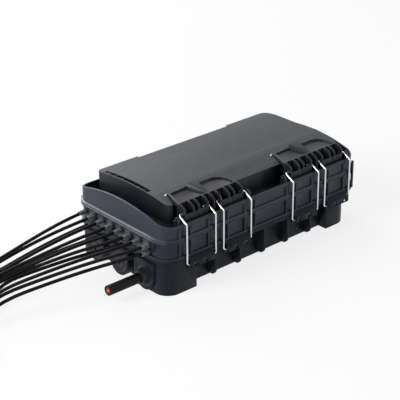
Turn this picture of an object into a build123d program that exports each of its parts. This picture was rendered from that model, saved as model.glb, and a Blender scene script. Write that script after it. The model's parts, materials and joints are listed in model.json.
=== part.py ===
from build123d import *
import math
import os

os.makedirs("parts", exist_ok=True)

# Shells, in millimetres. X runs along the box, ports at -X, latches at -Y, Z up from the resting face.
body_length = 400.0
body_width = 208.8
body_x = -6.5  # middle of the shells, measured from the middle between the two latches
base_height = 56.5
frame_height = 29.7
corner_radius = 24.0
wall = 3.2
lip = 3.1
lip_height = 3.4
seam_gap = 0.3

# Base: a tub between four corner blocks, with fins along both long sides
tub_width = 176.0
tub_left = -194.0
base_right = 176.0
left_block_end = -148.0
right_block_start = 126.0
end_recess_width = 124.0
band_height = 9.0
floor_thickness = 3.2
fin_first_x = -110.0
fin_pitch = 50.0
fin_count = 5
fin_thickness = 3.5
fin_foot = 4.0
fin_round = 9.0

# Cable ports in the left end
port_radius = 21.5
port_pitch = 58.0
port_face_x = -210.0
port_bore_radius = 14.5
port_seat_radius = 17.0
port_seat_depth = 2.5
fit_gap = 0.1
plug_hole_radius = 3.2
plug_hole_depth = 9.0
plug_depth = 14.0

# Feeder cable and its gland
feeder_radius = 7.7
feeder_jacket_wall = 2.1
feeder_end_x = -276.0
feeder_inner_x = -150.0
gland_radius = 12.5
gland_reach = 9.0
gland_nut_radius = 17.5
gland_nut_length = 12.0
loose_tube_radius = 1.35
loose_tube_overlap = 0.35
loose_tube_circle = 3.0
loose_tube_reach = 1.2

# Drop cables: two rows of eight, and the rubber block that they leave through
drop_columns = 8
drop_pitch = 21.3
drop_middle_y = 3.5
drop_rows_z = (66.3, 76.4)
drop_radius = 2.6
drop_start_x = -196.0
drop_straight_x = -230.0
coil_pitch = 5.4
coil_levels = 4
coil_turns = 3.5
coil_radius = 42.0
coil_lead = 22.0
coil_lead_gap = 0.2
collar_radius = 4.3
collar_reach = 5.0
seal_block_margin = 6.0
seal_block_height = 22.0
seal_block_depth = 6.0

# Gaskets
gasket_inset = 7.5
gasket_width = 4.0
gasket_depth = 2.6

# Cover: outer skirt, channel and raised deck
skirt_corner_z = 107.0
skirt_crown_z = 124.5
channel_floor_z = 95.5
channel_floor_thickness = 2.8
deck_left = -172.0
deck_right = 183.0
deck_front = -72.0
deck_rear = 99.0
deck_corner = 11.0
deck_wall = 3.0
deck_edge_z = 124.8
deck_crown_z = 132.0
grip_length = 104.0
grip_shift = 16.0
grip_depth = 9.0
grip_drop = 4.0
grip_lip = 2.2
grip_ribs = 7
grip_rib_thickness = 1.4
step_depth = 7.0
step_drop = 2.2
rear_step_x = 3.0
rear_step_length = 189.0
rear_step_width = 6.0
skirt_rib_height = 16.0

# Latches: a lever on a pin, two wire bails, and troughs on the base
latch_spacing = 214.0
pin_y = -94.6
pin_z = 112.9
seat_y = -92.8
seat_z = 118.1
pin_radius = 1.5
running_gap = 0.06
wire_radius = 1.5
leg_y = -109.4
bend_z = 109.0
bar_z = 45.0
outer_leg = 63.0
inner_leg = 7.8
wire_end = 10.5
wire_bend_radius = 3.6
lever_half = 57.0
lever_rear_half = 45.0
lever_rear_y = -46.0
lever_top_front_y = -84.0
lever_nose_y = -98.6
lever_nose_z = 125.5
lever_bottom_z = 106.0
lever_top_z = 131.4
lever_slab = 6.6
lever_rim = 2.6
pocket_depth = 3.2
lever_rear_radius = 22.0
lever_clearance = 0.9
rib_thickness = 2.4
side_ribs = (12.3, 55.8)
pin_ribs = (29.1, 39.3)
plate_thickness = 1.6
plate_top_z = 119.0
plate_inner = 11.1
nose_round = 17.0
tail_length = 20.0
web_thickness = 2.0
seat_gap = 0.08
lug_thickness = 4.0
lug_radius = 3.6
lug_gap = 0.4
pin_length = 15.4
lug_middle = 34.2
wedge_rear_half = 10.0
wedge_tip_half = 2.0
wedge_rise = 4.6
ear_inner = 67.0
ear_thickness = 4.0
ear_radius = 5.0
stud_overhang = 3.0
hook_wall = 2.2
hook_back_gap = 0.4
hook_front_gap = 1.2
hook_side_gap = 3.6
hook_foot_z = 40.0
window_places = (30.0, 51.0)
window_width = 7.0
window_height = 4.6

# Rear hinges
hinge_pin_radius = 2.0
knuckle_radius = 5.0
knuckle_gap = 0.6
knuckle_length = 12.0
knuckle_side_gap = 0.5
cover_knuckle_half = 7.5

# Splice trays and their carrier
tray_count = 3
tray_length = 234.0
tray_x = 30.0
tray_front_y = -68.0
tray_rear_y = 68.5
tray_height = 9.0
tray_pitch = 12.2
tray_first_z = 52.0
tray_hinge_y = 73.5
tray_wall = 1.8
tray_corner = 6.0
tray_pin_radius = 1.5
tray_lug = 4.0
tray_lug_radius = 3.4
core_spacing = 140.0
core_radius = 30.0
carrier_plate_width = 120.0
carrier_post_margin = 5.0
shelf_reach = 8.0
shelf_thickness = 2.5
carrier_thickness = 3.0
carrier_side_gap = 0.6
holder_length = 46.0
holder_width = 30.0
holder_height = 4.6
holder_grooves = 8

half_length = body_length / 2
half_width = body_width / 2
body_left = body_x - half_length
frame_z = base_height + seam_gap
frame_top = frame_z + frame_height
cover_z = frame_top + seam_gap
latch_centres = (-latch_spacing / 2, latch_spacing / 2)
latch_names = ("left", "right")
gland_depth = tub_left + wall + fit_gap - port_face_x
hook_start = inner_leg + wire_bend_radius + hook_side_gap / 2
hook_end = outer_leg - wire_bend_radius - hook_side_gap / 8
hook_back_y = leg_y + wire_radius + hook_back_gap
hook_front_y = leg_y - wire_radius - hook_front_gap
hook_roof_z = bar_z + wire_radius + hook_back_gap
inner_length = body_length - 2 * wall
inner_width = body_width - 2 * wall


def outline(extra, plan_radius=corner_radius):
    """The plan of the shells, grown by extra on every side."""
    with Locations((body_x, 0)):
        RectangleRounded(
            body_length + 2 * extra, body_width + 2 * extra, plan_radius + extra
        )


def base_plan(inset):
    """The plan of the base below its flange, drawn in by inset."""
    length = base_right - body_left
    middle = (base_right + body_left) / 2
    with Locations((middle, 0)):
        RectangleRounded(length - 2 * inset, body_width - 2 * inset, corner_radius - inset)
    bay = right_block_start - left_block_end + 2 * inset
    bay_middle = (right_block_start + left_block_end) / 2
    bay_depth = (body_width - tub_width) / 2
    for side in (-1, 1):
        with Locations((bay_middle, side * (tub_width / 2 + bay_depth / 2 - inset / 2))):
            Rectangle(bay, bay_depth + inset, mode=Mode.SUBTRACT)
    recess = tub_left - body_left
    with Locations((body_left + recess / 2 + inset / 2, 0)):
        Rectangle(recess + inset, end_recess_width + 2 * inset, mode=Mode.SUBTRACT)


def port_plan(extra):
    """One port housing on the end: straight sides under the flange and a round foot."""
    with BuildLine() as edge:
        Polyline(
            (-port_radius + extra, port_radius),
            (-port_radius + extra, base_height - band_height),
            (port_radius - extra, base_height - band_height),
            (port_radius - extra, port_radius),
        )
        ThreePointArc(
            (port_radius - extra, port_radius), (0, extra), (-port_radius + extra, port_radius)
        )
    make_face(edge.edges())


def gasket_loop(width):
    with Locations((body_x, 0)):
        RectangleRounded(
            body_length - 2 * gasket_inset + width,
            body_width - 2 * gasket_inset + width,
            corner_radius - gasket_inset + width / 2,
        )
        RectangleRounded(
            body_length - 2 * gasket_inset - width,
            body_width - 2 * gasket_inset - width,
            corner_radius - gasket_inset - width / 2,
            mode=Mode.SUBTRACT,
        )


port_places = (-port_pitch, 0.0, port_pitch)
fin_places = [fin_first_x + fin_pitch * i for i in range(fin_count)]
bracket_hole_spacing_x = 240.0
bracket_hole_spacing_y = 150.0
bracket_hole_radius = 3.0
bracket_boss_radius = 7.0
bracket_boss_height = 12.0
bracket_hole_depth = 10.0

# Base shell
with BuildPart() as base_shell:
    with BuildSketch():
        base_plan(0)
    extrude(amount=base_height)
    for y in port_places:
        with BuildSketch(Plane((port_face_x, y, 0), x_dir=(0, 1, 0), z_dir=(1, 0, 0))):
            port_plan(0)
        extrude(amount=tub_left - port_face_x + wall)
    with BuildSketch(Plane.XY.offset(base_height - band_height)):
        outline(0)
    extrude(amount=band_height)
    with BuildSketch(Plane.XY.offset(base_height - lip_height)):
        outline(lip)
    extrude(amount=lip_height)
    for x in fin_places:
        with BuildSketch(Plane((x - fin_thickness / 2, 0, 0), x_dir=(0, 1, 0), z_dir=(1, 0, 0))):
            for side in (-1, 1):
                with BuildLine():
                    Polyline(
                        (side * (half_width - fin_round), fin_foot),
                        (side * (tub_width / 2 - wall / 2), fin_foot),
                        (side * (tub_width / 2 - wall / 2), base_height - band_height / 2),
                        (side * half_width, base_height - band_height / 2),
                        (side * half_width, fin_foot + fin_round),
                    )
                    RadiusArc(
                        (side * half_width, fin_foot + fin_round),
                        (side * (half_width - fin_round), fin_foot),
                        side * fin_round,
                    )
                make_face()
        extrude(amount=fin_thickness)
    with BuildSketch(Plane.XY.offset(floor_thickness)):
        base_plan(wall)
    extrude(amount=base_height, mode=Mode.SUBTRACT)
    with Locations((0, 0, 0)):
        with GridLocations(bracket_hole_spacing_x, bracket_hole_spacing_y, 2, 2):
            Cylinder(
                bracket_boss_radius, bracket_boss_height, align=(Align.CENTER, Align.CENTER, Align.MIN)
            )
            Cylinder(
                bracket_hole_radius,
                bracket_hole_depth,
                align=(Align.CENTER, Align.CENTER, Align.MIN),
                mode=Mode.SUBTRACT,
            )
    for y in port_places:
        with BuildSketch(Plane((port_face_x, y, 0), x_dir=(0, 1, 0), z_dir=(1, 0, 0))):
            with Locations((0, port_radius)):
                Circle(port_bore_radius)
        extrude(amount=tub_left - port_face_x + 3 * wall, mode=Mode.SUBTRACT)
        with BuildSketch(Plane((port_face_x, y, 0), x_dir=(0, 1, 0), z_dir=(1, 0, 0))):
            with Locations((0, port_radius)):
                Circle(port_seat_radius)
        extrude(amount=port_seat_depth, mode=Mode.SUBTRACT)
    with BuildSketch(Plane.XY.offset(base_height)):
        gasket_loop(gasket_width + 2 * fit_gap)
    extrude(amount=-gasket_depth, mode=Mode.SUBTRACT)
    # Hooks over the bars of the bails, open below, with windows in front
    for centre in latch_centres:
        for side in (-1, 1):
            low = min(side * hook_start, side * hook_end)
            with BuildSketch(Plane((centre + low, 0, 0), x_dir=(0, 1, 0), z_dir=(1, 0, 0))):
                Polygon(
                    (-half_width + wall, hook_foot_z - 6.0),
                    (hook_back_y, hook_foot_z),
                    (hook_back_y, hook_roof_z),
                    (hook_front_y, hook_roof_z),
                    (hook_front_y, hook_foot_z),
                    (hook_front_y - hook_wall, hook_foot_z),
                    (hook_front_y - hook_wall, hook_roof_z + hook_wall),
                    (-half_width - lip, base_height - lip_height),
                    (-half_width + wall, base_height - lip_height),
                    align=None,
                )
            extrude(amount=hook_end - hook_start)
            for place in window_places:
                with BuildSketch(
                    Plane((centre + side * place, hook_front_y, bar_z - 0.6), z_dir=(0, -1, 0))
                ):
                    RectangleRounded(window_width, window_height, 0.8)
                extrude(amount=hook_wall, both=True, mode=Mode.SUBTRACT)
base_shell.part.label = "base_shell"
export_step(base_shell.part, "parts/base_shell.step")

# Gasket between base and frame
with BuildPart() as lower_gasket:
    with BuildSketch(Plane.XY.offset(base_height - gasket_depth)):
        gasket_loop(gasket_width)
    extrude(amount=gasket_depth + seam_gap)
lower_gasket.part.label = "lower_gasket"
export_step(lower_gasket.part, "parts/lower_gasket.step")

hinge_y = half_width + lip + knuckle_radius + knuckle_gap
hinge_z = frame_top + seam_gap / 2
seal_width = drop_pitch * (drop_columns - 1) + 2 * seal_block_margin
seal_z = sum(drop_rows_z) / 2
flange_width = 2 * gasket_inset
rib_offsets = (-74.0, -53.0, -19.0, 19.0, 53.0, 74.0)
frame_rib_width = 3.0

# Middle frame, which carries the drop cables
with BuildPart() as middle_frame:
    with BuildSketch(Plane.XY.offset(frame_z)):
        outline(0)
        outline(-wall)
        with Locations((body_x, 0)):
            RectangleRounded(
                inner_length, inner_width, corner_radius - wall, mode=Mode.SUBTRACT
            )
    extrude(amount=frame_height)
    for z in (frame_z, frame_top - lip_height):
        with BuildSketch(Plane.XY.offset(z)):
            outline(lip)
            with Locations((body_x, 0)):
                RectangleRounded(
                    body_length - 2 * flange_width,
                    body_width - 2 * flange_width,
                    corner_radius - flange_width + 6.0,
                    mode=Mode.SUBTRACT,
                )
        extrude(amount=lip_height)
    for centre in latch_centres:
        for offset_x in rib_offsets:
            for side in (-1, 1):
                with Locations((centre + offset_x, side * (half_width + lip / 2), frame_z)):
                    Box(
                        frame_rib_width,
                        lip,
                        frame_height,
                        align=(Align.CENTER, Align.CENTER, Align.MIN),
                    )
    # Window in the end wall for the rubber block
    with Locations((body_left, drop_middle_y, seal_z)):
        Box(4 * wall, seal_width, seal_block_height, mode=Mode.SUBTRACT)
    # Hinge knuckles at the rear
    for centre in latch_centres:
        for side in (-1, 1):
            start = side * (cover_knuckle_half + knuckle_side_gap)
            low = min(start, start + side * knuckle_length)
            with BuildSketch(Plane((centre + low, 0, 0), x_dir=(0, 1, 0), z_dir=(1, 0, 0))):
                with Locations((hinge_y, hinge_z)):
                    Circle(knuckle_radius)
                Polygon(
                    (half_width, frame_top - 12.0),
                    (half_width + lip, frame_top - 12.0),
                    (hinge_y + knuckle_radius * 0.8, hinge_z - knuckle_radius * 0.6),
                    (hinge_y, frame_top),
                    (half_width, frame_top),
                    align=None,
                )
                with Locations((hinge_y, hinge_z)):
                    Circle(hinge_pin_radius + running_gap, mode=Mode.SUBTRACT)
            extrude(amount=knuckle_length)
    with BuildSketch(Plane.XY.offset(frame_top)):
        gasket_loop(gasket_width + 2 * fit_gap)
    extrude(amount=-gasket_depth, mode=Mode.SUBTRACT)
middle_frame.part.label = "middle_frame"
export_step(middle_frame.part, "parts/middle_frame.step")

# Gasket between frame and cover
with BuildPart() as upper_gasket:
    with BuildSketch(Plane.XY.offset(frame_top - gasket_depth)):
        gasket_loop(gasket_width)
    extrude(amount=gasket_depth + seam_gap / 2)
upper_gasket.part.label = "upper_gasket"
export_step(upper_gasket.part, "parts/upper_gasket.step")

drop_columns_y = [
    drop_middle_y + drop_pitch * (i - (drop_columns - 1) / 2) for i in range(drop_columns)
]

# Each drop cable: its column and row, its coil and level there, and its points between the two
drop_routes = (
    (7, 1, 0, 3, [
        (-295, 80, 65.4),
        (-360, 87, 46),
        (-399, 99, 30.3),
        (-437, 111, 19.4),
    ]),
    (6, 1, 0, 1, [
        (-293, 73, 62.2),
        (-356, 95, 37),
        (-397, 103, 20.3),
        (-437, 111, 8.6),
    ]),
    (6, 0, 0, 0, [
        (-296, 68, 53.2),
        (-363, 84, 30),
        (-400, 98, 14.2),
        (-437, 111, 3.2),
    ]),
    (5, 1, 0, 2, [
        (-279, 41, 69.6),
        (-329, 49, 58),
        (-379, 58, 43),
        (-408, 85, 25.9),
        (-437, 111, 14),
    ]),
    (4, 1, 1, 3, [
        (-282, 22, 70.6),
        (-335, 32, 60.8),
        (-388, 44, 48),
        (-443, 50, 36.4),
        (-497, 55, 26.3),
        (-552, 60, 19.4),
    ]),
    (4, 0, 1, 0, [
        (-279, 28, 59.8),
        (-329, 43, 48.5),
        (-379, 60, 34),
        (-437, 60, 21.6),
        (-494, 60, 9.8),
        (-552, 60, 3.2),
    ]),
    (3, 1, 1, 2, [
        (-283, 8, 69.5),
        (-336, 24, 57.5),
        (-390, 43, 42),
        (-444, 49, 30.7),
        (-498, 54, 20.7),
        (-552, 60, 14),
    ]),
    (2, 1, 1, 1, [
        (-282, -5, 67.9),
        (-334, 21, 53.1),
        (-386, 49, 34),
        (-441, 53, 23.7),
        (-497, 57, 14.7),
        (-552, 60, 8.6),
    ]),
    (2, 0, 2, 0, [
        (-281, -3, 58.4),
        (-332, 24, 44.7),
        (-384, 54, 27),
        (-431, 27, 12.9),
        (-479, 0, 3.2),
    ]),
    (1, 1, 2, 3, [
        (-289, -31, 69.6),
        (-349, -9, 58),
        (-409, 14, 43),
        (-444, 7, 31.5),
        (-479, 0, 19.4),
    ]),
    (0, 1, 2, 2, [
        (-289, -45, 68.3),
        (-349, -17, 54.2),
        (-409, 14, 36),
        (-444, 9, 25.5),
        (-479, 0, 14),
    ]),
    (0, 0, 2, 1, [
        (-290, -46, 58.6),
        (-351, -19, 45.3),
        (-412, 10, 28),
        (-479, 0, 8.6),
    ]),
)
# Where the cables enter their coils: x, y, heading from -X towards +Y, side of the coil
coil_entries = (
    (-470.0, 116.0, 8.0, 1),
    (-585.0, 62.0, 3.0, 1),
    (-512.0, -2.0, -3.0, -1),
)
coil_names = ("rear", "middle", "front")
drop_columns_y = [
    drop_middle_y + drop_pitch * (i - (drop_columns - 1) / 2) for i in range(drop_columns)
]
drop_exits = [(drop_columns_y[route[0]], drop_rows_z[route[1]]) for route in drop_routes]
seal_plane = Plane((body_left, 0, 0), x_dir=(0, 1, 0), z_dir=(1, 0, 0))

# Rubber block with one collar for each drop cable
with BuildPart() as drop_seal_block:
    with BuildSketch(seal_plane):
        with Locations((drop_middle_y, seal_z)):
            Rectangle(seal_width - 2 * fit_gap, seal_block_height - 2 * fit_gap)
    extrude(amount=wall)
    with BuildSketch(seal_plane.offset(wall)):
        with Locations((drop_middle_y, seal_z)):
            Rectangle(seal_width - 2.0, seal_block_height - 2.0)
    extrude(amount=seal_block_depth)
    with BuildSketch(seal_plane):
        with Locations(*drop_exits):
            Circle(collar_radius)
    extrude(amount=-collar_reach)
    with BuildSketch(seal_plane.offset(-collar_reach)):
        with Locations(*drop_exits):
            Circle(drop_radius)
    extrude(amount=collar_reach + wall + seal_block_depth, mode=Mode.SUBTRACT)
drop_seal_block.part.label = "drop_seal_block"
export_step(drop_seal_block.part, "parts/drop_seal_block.step")


def arc_radii(points):
    """The radius at each corner of a cable: as large as its two runs allow."""
    radii = []
    for a, b, c in zip(points[:-2], points[1:-1], points[2:]):
        before = Vector(*b) - Vector(*a)
        after = Vector(*c) - Vector(*b)
        shorter = min(before.length, after.length)
        radii.append(0.45 * shorter / math.tan(math.radians(before.get_angle(after) / 2)))
    return radii


# Drop cables, from the inner side of the rubber block to their coils
for number, (column, row, coil, level, points) in enumerate(drop_routes, start=1):
    exit_y = drop_columns_y[column]
    exit_z = drop_rows_z[row]
    entry_x, entry_y, heading, turn_side = coil_entries[coil]
    level_z = coil_pitch * (level + 0.5)
    start = (drop_start_x, exit_y, exit_z)
    route = [start, (drop_straight_x, exit_y, exit_z), *points, (entry_x, entry_y, level_z)]
    radii = arc_radii(route)
    with BuildPart() as drop_cable:
        with BuildLine() as path:
            FilletPolyline(*route, radius=radii)
        with BuildSketch(Plane(start, z_dir=(-1, 0, 0))):
            Circle(drop_radius)
        sweep()
    drop_cable.part.label = f"drop_cable_{number}"
    export_step(drop_cable.part, f"parts/drop_cable_{number}.step")
    path_length = sum(edge.length for edge in path.edges())
    by_section = math.pi * drop_radius**2 * path_length
    print(f"drop cable {number}: radii {[round(r) for r in radii]} length {path_length:.0f}")
    print(f"  volume {drop_cable.part.volume:.0f}, section times length {by_section:.0f}")

# The put-away length of each group of four cables, wound together
coil_inner = coil_radius - coil_turns * coil_pitch
for name, (entry_x, entry_y, heading, turn_side) in zip(coil_names, coil_entries):
    turn = math.radians(heading)
    along = Vector(-math.cos(turn), math.sin(turn))
    across = Vector(math.sin(turn), math.cos(turn)) * turn_side
    middle = Vector(entry_x, entry_y) + along * coil_lead + across * coil_radius
    lead_middle = Vector(entry_x, entry_y) + along * ((coil_lead + coil_lead_gap) / 2)
    with BuildPart() as cable_coil:
        with BuildSketch():
            with Locations((middle.X, middle.Y)):
                Circle(coil_radius + coil_pitch / 2)
            with Locations(Location((lead_middle.X, lead_middle.Y, 0), (0, 0, -heading))):
                Rectangle(coil_lead - coil_lead_gap, coil_pitch)
            with Locations((middle.X, middle.Y)):
                Circle(coil_inner - coil_pitch / 2, mode=Mode.SUBTRACT)
        extrude(amount=coil_levels * coil_pitch)
    cable_coil.part.label = f"{name}_cable_coil"
    export_step(cable_coil.part, f"parts/{name}_cable_coil.step")

deck_length = deck_right - deck_left
deck_middle = (deck_right + deck_left) / 2
deck_width = deck_rear - deck_front
deck_mid_y = (deck_rear + deck_front) / 2
deck_reach = half_width + 16.0
deck_drop = (deck_crown_z - deck_edge_z) * (deck_reach / (deck_width / 2)) ** 2
grip_mid_y = deck_mid_y + grip_shift


def above_arc(points, top):
    """The region of a cross-section that lies above an arc through three points."""
    with BuildLine() as edge:
        ThreePointArc(*points)
        Polyline(points[2], (points[2][0], top), (points[0][0], top), points[0])
    make_face(edge.edges())


def above_deck(drop):
    """Everything above the deck's barrel-shaped top, or drop below it."""
    above_arc(
        [
            (deck_mid_y - deck_reach, deck_crown_z - deck_drop - drop),
            (deck_mid_y, deck_crown_z - drop),
            (deck_mid_y + deck_reach, deck_crown_z - deck_drop - drop),
        ],
        deck_crown_z + 20.0,
    )


def lever_plan(grow):
    """The plan of a lever between its rear edge and the top of its nose, about its own middle."""
    with BuildLine() as edge:
        Polyline(
            (-lever_half - grow, lever_top_front_y),
            (-lever_rear_half - grow, lever_rear_y + grow),
            (lever_half - lever_rear_radius, lever_rear_y + grow),
        )
        TangentArc(
            (lever_half - lever_rear_radius, lever_rear_y + grow),
            (lever_half + grow, lever_rear_y - lever_rear_radius),
            tangent=(1, 0),
        )
        Polyline(
            (lever_half + grow, lever_rear_y - lever_rear_radius),
            (lever_half + grow, lever_top_front_y),
            (-lever_half - grow, lever_top_front_y),
        )
    make_face(edge.edges())


def deck_plan(inset):
    """The plan of the deck, with the two bays that the levers lie in."""
    with Locations((deck_middle, deck_mid_y)):
        RectangleRounded(deck_length - 2 * inset, deck_width - 2 * inset, deck_corner - inset)
    with BuildSketch(mode=Mode.PRIVATE) as bay:
        lever_plan(lever_clearance + inset)
    for centre in latch_centres:
        add(bay.sketch.moved(Location((centre, 0, 0))), mode=Mode.SUBTRACT)


whole_length = body_length + 2 * lip + 10.0
cut_start = Plane.YZ.offset(body_left - lip - 5.0)
skirt_reach = half_width + lip + 4.0
skirt_drop = (skirt_crown_z - skirt_corner_z) * (skirt_reach / half_width) ** 2
block_top = deck_crown_z + 5.0
floor_z = channel_floor_z - channel_floor_thickness

# The hollow under the deck
with BuildPart() as deck_hollow:
    with BuildSketch(Plane.XY.offset(floor_z)):
        deck_plan(deck_wall)
    extrude(amount=block_top - floor_z)
    with BuildSketch(cut_start):
        above_deck(deck_wall)
    extrude(amount=whole_length, mode=Mode.SUBTRACT)
    for x, depth in ((deck_left, grip_depth), (deck_right, step_depth)):
        with Locations((x, grip_mid_y, deck_crown_z)):
            Box(
                2 * (depth + deck_wall),
                grip_length + 2 * deck_wall,
                2 * (grip_drop + deck_wall + 2.0),
                mode=Mode.SUBTRACT,
            )

# Cover: skirt, channel floor and raised deck in one moulding
with BuildPart() as cover_shell:
    with BuildSketch(Plane.XY.offset(cover_z)):
        outline(0)
        with Locations((body_x, 0)):
            RectangleRounded(
                inner_length, inner_width, corner_radius - wall, mode=Mode.SUBTRACT
            )
    extrude(amount=skirt_crown_z + 2.0 - cover_z)
    with BuildSketch(cut_start):
        above_arc(
            [
                (-skirt_reach, skirt_crown_z - skirt_drop),
                (0, skirt_crown_z),
                (skirt_reach, skirt_crown_z - skirt_drop),
            ],
            block_top,
        )
    extrude(amount=whole_length, mode=Mode.SUBTRACT)
    with BuildSketch(Plane.XY.offset(cover_z)):
        outline(lip)
        with Locations((body_x, 0)):
            RectangleRounded(
                body_length - 2 * flange_width,
                body_width - 2 * flange_width,
                corner_radius - flange_width + 6.0,
                mode=Mode.SUBTRACT,
            )
    extrude(amount=lip_height)
    for centre in latch_centres:
        for offset_x in rib_offsets:
            for side in (-1, 1):
                with Locations((centre + offset_x, side * (half_width + lip / 2), cover_z)):
                    Box(
                        frame_rib_width,
                        lip,
                        skirt_rib_height,
                        align=(Align.CENTER, Align.CENTER, Align.MIN),
                    )
    with BuildSketch(Plane.XY.offset(floor_z)):
        outline(-wall / 2)
    extrude(amount=channel_floor_thickness)
    with BuildSketch(Plane.XY.offset(floor_z)):
        deck_plan(0)
    extrude(amount=block_top - floor_z)
    with BuildSketch(cut_start):
        above_deck(0)
    extrude(amount=whole_length, mode=Mode.SUBTRACT)
    add(deck_hollow.part, mode=Mode.SUBTRACT)
    # Finger notch at the left end, behind a thin lip, with small ribs across it
    with Locations((deck_left + grip_lip, grip_mid_y, block_top)):
        Box(
            grip_depth - grip_lip,
            grip_length,
            block_top - deck_crown_z + grip_drop + 2.0,
            align=(Align.MIN, Align.CENTER, Align.MAX),
            mode=Mode.SUBTRACT,
        )
    with Locations((deck_left + grip_lip, grip_mid_y, deck_crown_z - grip_drop - 2.0)):
        with GridLocations(1, grip_length / (grip_ribs + 1), 1, grip_ribs):
            Box(
                grip_depth - grip_lip,
                grip_rib_thickness,
                grip_drop - 1.0,
                align=(Align.MIN, Align.CENTER, Align.MIN),
            )
    # Shallow steps at the right end and along the rear
    with Locations((deck_right, grip_mid_y, block_top)):
        Box(
            2 * step_depth,
            grip_length - 6.0,
            block_top - deck_crown_z + step_drop + 1.0,
            align=(Align.CENTER, Align.CENTER, Align.MAX),
            mode=Mode.SUBTRACT,
        )
    with Locations((rear_step_x, deck_rear, block_top)):
        Box(
            rear_step_length,
            2 * rear_step_width,
            block_top - deck_edge_z + step_drop,
            align=(Align.CENTER, Align.CENTER, Align.MAX),
            mode=Mode.SUBTRACT,
        )
    # Ears beside the levers, with a stud in each, and the lugs that the levers turn on
    for centre in latch_centres:
        for side in (-1, 1):
            ear_x = centre + side * ear_inner
            low = min(ear_x, ear_x + side * ear_thickness)
            with BuildSketch(Plane((low, 0, 0), x_dir=(0, 1, 0), z_dir=(1, 0, 0))):
                with Locations((pin_y, pin_z)):
                    Circle(ear_radius)
                    Rectangle(
                        2 * ear_radius, pin_z - floor_z, align=(Align.CENTER, Align.MAX)
                    )
            extrude(amount=ear_thickness)
            stud_low = min(ear_x, ear_x + side * (ear_thickness + stud_overhang))
            with BuildSketch(Plane((stud_low, 0, 0), x_dir=(0, 1, 0), z_dir=(1, 0, 0))):
                with Locations((pin_y, pin_z)):
                    Circle(pin_radius + 0.6)
            extrude(amount=ear_thickness + stud_overhang)
            lug_x = centre + side * lug_middle - lug_thickness / 2
            with BuildSketch(Plane((lug_x, 0, 0), x_dir=(0, 1, 0), z_dir=(1, 0, 0))):
                with Locations((pin_y, pin_z)):
                    Circle(lug_radius)
                    Rectangle(
                        2 * lug_radius, pin_z - floor_z, align=(Align.CENTER, Align.MAX)
                    )
                    Circle(pin_radius + running_gap, mode=Mode.SUBTRACT)
            extrude(amount=lug_thickness)
        # Middle knuckle of the rear hinge
        with BuildSketch(
            Plane((centre - cover_knuckle_half, 0, 0), x_dir=(0, 1, 0), z_dir=(1, 0, 0))
        ):
            with Locations((hinge_y, hinge_z)):
                Circle(knuckle_radius)
            Polygon(
                (half_width, cover_z),
                (half_width, cover_z + 10.0),
                (hinge_y + knuckle_radius * 0.7, hinge_z + knuckle_radius * 0.7),
                (hinge_y, cover_z),
                align=None,
            )
            with Locations((hinge_y, hinge_z)):
                Circle(hinge_pin_radius + running_gap, mode=Mode.SUBTRACT)
        extrude(amount=2 * cover_knuckle_half)
cover_shell.part.label = "cover_shell"
export_step(cover_shell.part, "parts/cover_shell.step")

# Rear hinge pins
for name, centre in zip(latch_names, latch_centres):
    pin_reach = cover_knuckle_half + knuckle_side_gap + knuckle_length
    with BuildPart() as hinge_pin:
        with BuildSketch(Plane((centre - pin_reach, hinge_y, hinge_z), z_dir=(1, 0, 0))):
            Circle(hinge_pin_radius)
        extrude(amount=2 * pin_reach)
    hinge_pin.part.label = f"{name}_hinge_pin"
    export_step(hinge_pin.part, f"parts/{name}_hinge_pin.step")

web_back = lever_top_front_y + web_thickness
slab_z = lever_top_z - lever_slab
rib_places = sorted([0.0] + [side * x for x in side_ribs + pin_ribs for side in (-1, 1)])
pocket_front_y = lever_top_front_y + lever_rim
pocket_rear_y = lever_rear_y - lever_rim


def rib_plane(x, thickness):
    return Plane((x - thickness / 2, 0, 0), x_dir=(0, 1, 0), z_dir=(1, 0, 0))


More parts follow.
